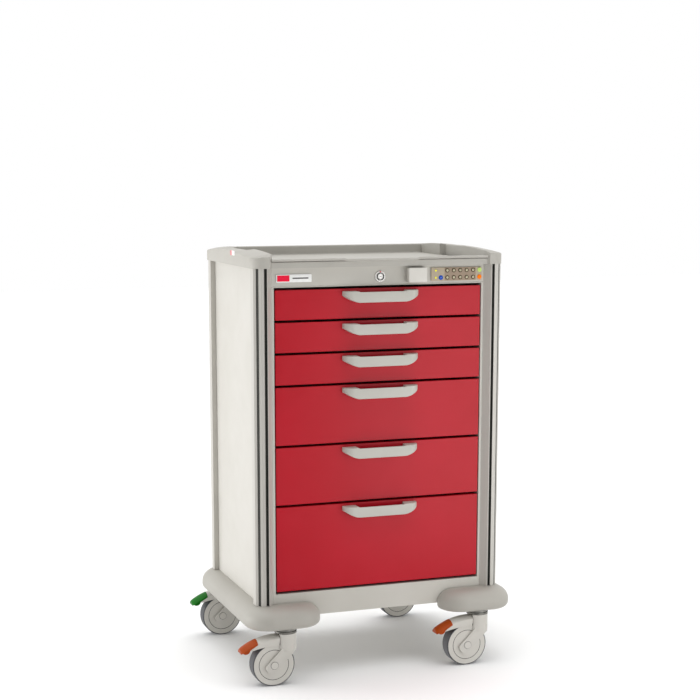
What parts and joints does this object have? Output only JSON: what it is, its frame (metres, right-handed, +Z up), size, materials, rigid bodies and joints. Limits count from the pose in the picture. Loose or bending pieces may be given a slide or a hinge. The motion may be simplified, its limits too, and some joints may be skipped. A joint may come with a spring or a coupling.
{
  "type": "crash cart",
  "caption": "Steel drawer cart on braked swivel casters with corner posts, bumpers, cup handles, a moulded top with end caps, a key lock and a keypad.",
  "frame": {"origin": "on the floor, at the centre of the whole object's box", "axes": "+Z up, the drawers open towards -Y, +X to the cart's right side as a user sees it from the front"},
  "size_m": [0.8008, 0.585, 1.1635],
  "materials": {
    "painted_steel_grey": "satin",
    "painted_steel_cream": "satin",
    "anodised_aluminium": "satin",
    "moulded_grey": "matte",
    "keypad_plastic": "matte",
    "plated_steel": "satin",
    "tray_steel": "satin",
    "painted_steel_red": "satin",
    "handle_plastic": "satin",
    "caster_plastic": "satin",
    "tyre_rubber": "matte",
    "pedal_green": "satin",
    "pedal_orange": "satin",
    "key_blue": "satin",
    "key_green": "satin",
    "key_orange": "satin",
    "key_digit": "satin"
  },
  "bodies": {
    "cart": {"chassis": "painted_steel_grey", "corner_posts": "anodised_aluminium", "side_panels": "painted_steel_cream", "back_panel": "painted_steel_cream", "slide_rails": "painted_steel_grey", "header_panel": "painted_steel_grey", "worktop": "moulded_grey", "end_caps": "moulded_grey", "bumpers": "moulded_grey", "caster_stems": "plated_steel", "keypad_housing": "keypad_plastic", "lock_barrel": "plated_steel"},
    "lock_core": {"lock_core": "plated_steel"},
    "drawer_1": {"drawer_1_tray": "tray_steel", "drawer_1_front": "painted_steel_red", "drawer_1_handle": "handle_plastic"},
    "drawer_2": {"drawer_2_tray": "tray_steel", "drawer_2_front": "painted_steel_red", "drawer_2_handle": "handle_plastic"},
    "drawer_3": {"drawer_3_tray": "tray_steel", "drawer_3_front": "painted_steel_red", "drawer_3_handle": "handle_plastic"},
    "drawer_4": {"drawer_4_tray": "tray_steel", "drawer_4_front": "painted_steel_red", "drawer_4_handle": "handle_plastic"},
    "drawer_5": {"drawer_5_tray": "tray_steel", "drawer_5_front": "painted_steel_red", "drawer_5_handle": "handle_plastic"},
    "drawer_6": {"drawer_6_tray": "tray_steel", "drawer_6_front": "painted_steel_red", "drawer_6_handle": "handle_plastic"},
    "caster_front_left_swivel": {"caster_front_left_fork": "caster_plastic"},
    "caster_front_left_wheel": {"caster_front_left_hub": "caster_plastic", "caster_front_left_tyre": "tyre_rubber"},
    "caster_front_left_brake": {"caster_front_left_pedal": "pedal_orange"},
    "caster_front_right_swivel": {"caster_front_right_fork": "caster_plastic"},
    "caster_front_right_wheel": {"caster_front_right_hub": "caster_plastic", "caster_front_right_tyre": "tyre_rubber"},
    "caster_front_right_brake": {"caster_front_right_pedal": "pedal_orange"},
    "caster_rear_left_swivel": {"caster_rear_left_fork": "caster_plastic"},
    "caster_rear_left_wheel": {"caster_rear_left_hub": "caster_plastic", "caster_rear_left_tyre": "tyre_rubber"},
    "caster_rear_left_brake": {"caster_rear_left_pedal": "pedal_green"},
    "caster_rear_right_swivel": {"caster_rear_right_fork": "caster_plastic"},
    "caster_rear_right_wheel": {"caster_rear_right_hub": "caster_plastic", "caster_rear_right_tyre": "tyre_rubber"},
    "caster_rear_right_brake": {"caster_rear_right_pedal": "pedal_orange"},
    "key_1": {"key_1": "key_digit"},
    "key_2": {"key_2": "key_digit"},
    "key_3": {"key_3": "key_digit"},
    "key_4": {"key_4": "key_digit"},
    "key_5": {"key_5": "key_digit"},
    "key_6": {"key_6": "key_digit"},
    "key_7": {"key_7": "key_digit"},
    "key_8": {"key_8": "key_digit"},
    "key_9": {"key_9": "key_digit"},
    "key_0": {"key_0": "key_digit"},
    "key_function": {"key_function": "key_blue"},
    "key_enter": {"key_enter": "key_green"},
    "key_cancel": {"key_cancel": "key_orange"}
  },
  "joints": [
    {"name": "drawer_1_slide", "type": "slide", "parent": "cart", "child": "drawer_1", "axis": [0, -1, 0], "range_m": [0, 0.365]},
    {"name": "drawer_2_slide", "type": "slide", "parent": "cart", "child": "drawer_2", "axis": [0, -1, 0], "range_m": [0, 0.365]},
    {"name": "drawer_3_slide", "type": "slide", "parent": "cart", "child": "drawer_3", "axis": [0, -1, 0], "range_m": [0, 0.365]},
    {"name": "drawer_4_slide", "type": "slide", "parent": "cart", "child": "drawer_4", "axis": [0, -1, 0], "range_m": [0, 0.365]},
    {"name": "drawer_5_slide", "type": "slide", "parent": "cart", "child": "drawer_5", "axis": [0, -1, 0], "range_m": [0, 0.365]},
    {"name": "drawer_6_slide", "type": "slide", "parent": "cart", "child": "drawer_6", "axis": [0, -1, 0], "range_m": [0, 0.365]},
    {"name": "caster_front_left_swivel", "type": "hinge", "parent": "cart", "child": "caster_front_left_swivel", "pos_m": [-0.2705, -0.259, 0.14], "axis": [0, 0, 1], "continuous": true},
    {"name": "caster_front_left_roll", "type": "hinge", "parent": "caster_front_left_swivel", "child": "caster_front_left_wheel", "pos_m": [-0.3095, -0.259, 0.059], "axis": [0, 1, 0], "continuous": true},
    {"name": "caster_front_left_brake", "type": "hinge", "parent": "caster_front_left_swivel", "child": "caster_front_left_brake", "pos_m": [-0.2875, -0.259, 0.121], "axis": [0, -1, 0], "range_deg": [0, 8]},
    {"name": "caster_front_right_swivel", "type": "hinge", "parent": "cart", "child": "caster_front_right_swivel", "pos_m": [0.2955, -0.259, 0.14], "axis": [0, 0, 1], "continuous": true},
    {"name": "caster_front_right_roll", "type": "hinge", "parent": "caster_front_right_swivel", "child": "caster_front_right_wheel", "pos_m": [0.2565, -0.259, 0.059], "axis": [0, 1, 0], "continuous": true},
    {"name": "caster_front_right_brake", "type": "hinge", "parent": "caster_front_right_swivel", "child": "caster_front_right_brake", "pos_m": [0.2785, -0.259, 0.121], "axis": [0, -1, 0], "range_deg": [0, 8]},
    {"name": "caster_rear_left_swivel", "type": "hinge", "parent": "cart", "child": "caster_rear_left_swivel", "pos_m": [-0.2705, 0.259, 0.14], "axis": [0, 0, 1], "continuous": true},
    {"name": "caster_rear_left_roll", "type": "hinge", "parent": "caster_rear_left_swivel", "child": "caster_rear_left_wheel", "pos_m": [-0.3095, 0.259, 0.059], "axis": [0, 1, 0], "continuous": true},
    {"name": "caster_rear_left_brake", "type": "hinge", "parent": "caster_rear_left_swivel", "child": "caster_rear_left_brake", "pos_m": [-0.2875, 0.259, 0.121], "axis": [0, -1, 0], "range_deg": [0, 8]},
    {"name": "caster_rear_right_swivel", "type": "hinge", "parent": "cart", "child": "caster_rear_right_swivel", "pos_m": [0.2955, 0.259, 0.14], "axis": [0, 0, 1], "continuous": true},
    {"name": "caster_rear_right_roll", "type": "hinge", "parent": "caster_rear_right_swivel", "child": "caster_rear_right_wheel", "pos_m": [0.2565, 0.259, 0.059], "axis": [0, 1, 0], "continuous": true},
    {"name": "caster_rear_right_brake", "type": "hinge", "parent": "caster_rear_right_swivel", "child": "caster_rear_right_brake", "pos_m": [0.2785, 0.259, 0.121], "axis": [0, -1, 0], "range_deg": [0, 8]},
    {"name": "lock_turn", "type": "hinge", "parent": "cart", "child": "lock_core", "pos_m": [0.0125, -0.2225, 1.0905], "axis": [0, -1, 0], "range_deg": [0, 90]},
    {"name": "key_1_press", "type": "slide", "parent": "cart", "child": "key_1", "axis": [0, 1, 0], "range_m": [0, 0.0008], "stiffness_N_per_m": 600},
    {"name": "key_2_press", "type": "slide", "parent": "cart", "child": "key_2", "axis": [0, 1, 0], "range_m": [0, 0.0008], "stiffness_N_per_m": 600},
    {"name": "key_3_press", "type": "slide", "parent": "cart", "child": "key_3", "axis": [0, 1, 0], "range_m": [0, 0.0008], "stiffness_N_per_m": 600},
    {"name": "key_4_press", "type": "slide", "parent": "cart", "child": "key_4", "axis": [0, 1, 0], "range_m": [0, 0.0008], "stiffness_N_per_m": 600},
    {"name": "key_5_press", "type": "slide", "parent": "cart", "child": "key_5", "axis": [0, 1, 0], "range_m": [0, 0.0008], "stiffness_N_per_m": 600},
    {"name": "key_6_press", "type": "slide", "parent": "cart", "child": "key_6", "axis": [0, 1, 0], "range_m": [0, 0.0008], "stiffness_N_per_m": 600},
    {"name": "key_7_press", "type": "slide", "parent": "cart", "child": "key_7", "axis": [0, 1, 0], "range_m": [0, 0.0008], "stiffness_N_per_m": 600},
    {"name": "key_8_press", "type": "slide", "parent": "cart", "child": "key_8", "axis": [0, 1, 0], "range_m": [0, 0.0008], "stiffness_N_per_m": 600},
    {"name": "key_9_press", "type": "slide", "parent": "cart", "child": "key_9", "axis": [0, 1, 0], "range_m": [0, 0.0008], "stiffness_N_per_m": 600},
    {"name": "key_0_press", "type": "slide", "parent": "cart", "child": "key_0", "axis": [0, 1, 0], "range_m": [0, 0.0008], "stiffness_N_per_m": 600},
    {"name": "key_function_press", "type": "slide", "parent": "cart", "child": "key_function", "axis": [0, 1, 0], "range_m": [0, 0.0008], "stiffness_N_per_m": 600},
    {"name": "key_enter_press", "type": "slide", "parent": "cart", "child": "key_enter", "axis": [0, 1, 0], "range_m": [0, 0.0008], "stiffness_N_per_m": 600},
    {"name": "key_cancel_press", "type": "slide", "parent": "cart", "child": "key_cancel", "axis": [0, 1, 0], "range_m": [0, 0.0008], "stiffness_N_per_m": 600}
  ]
}
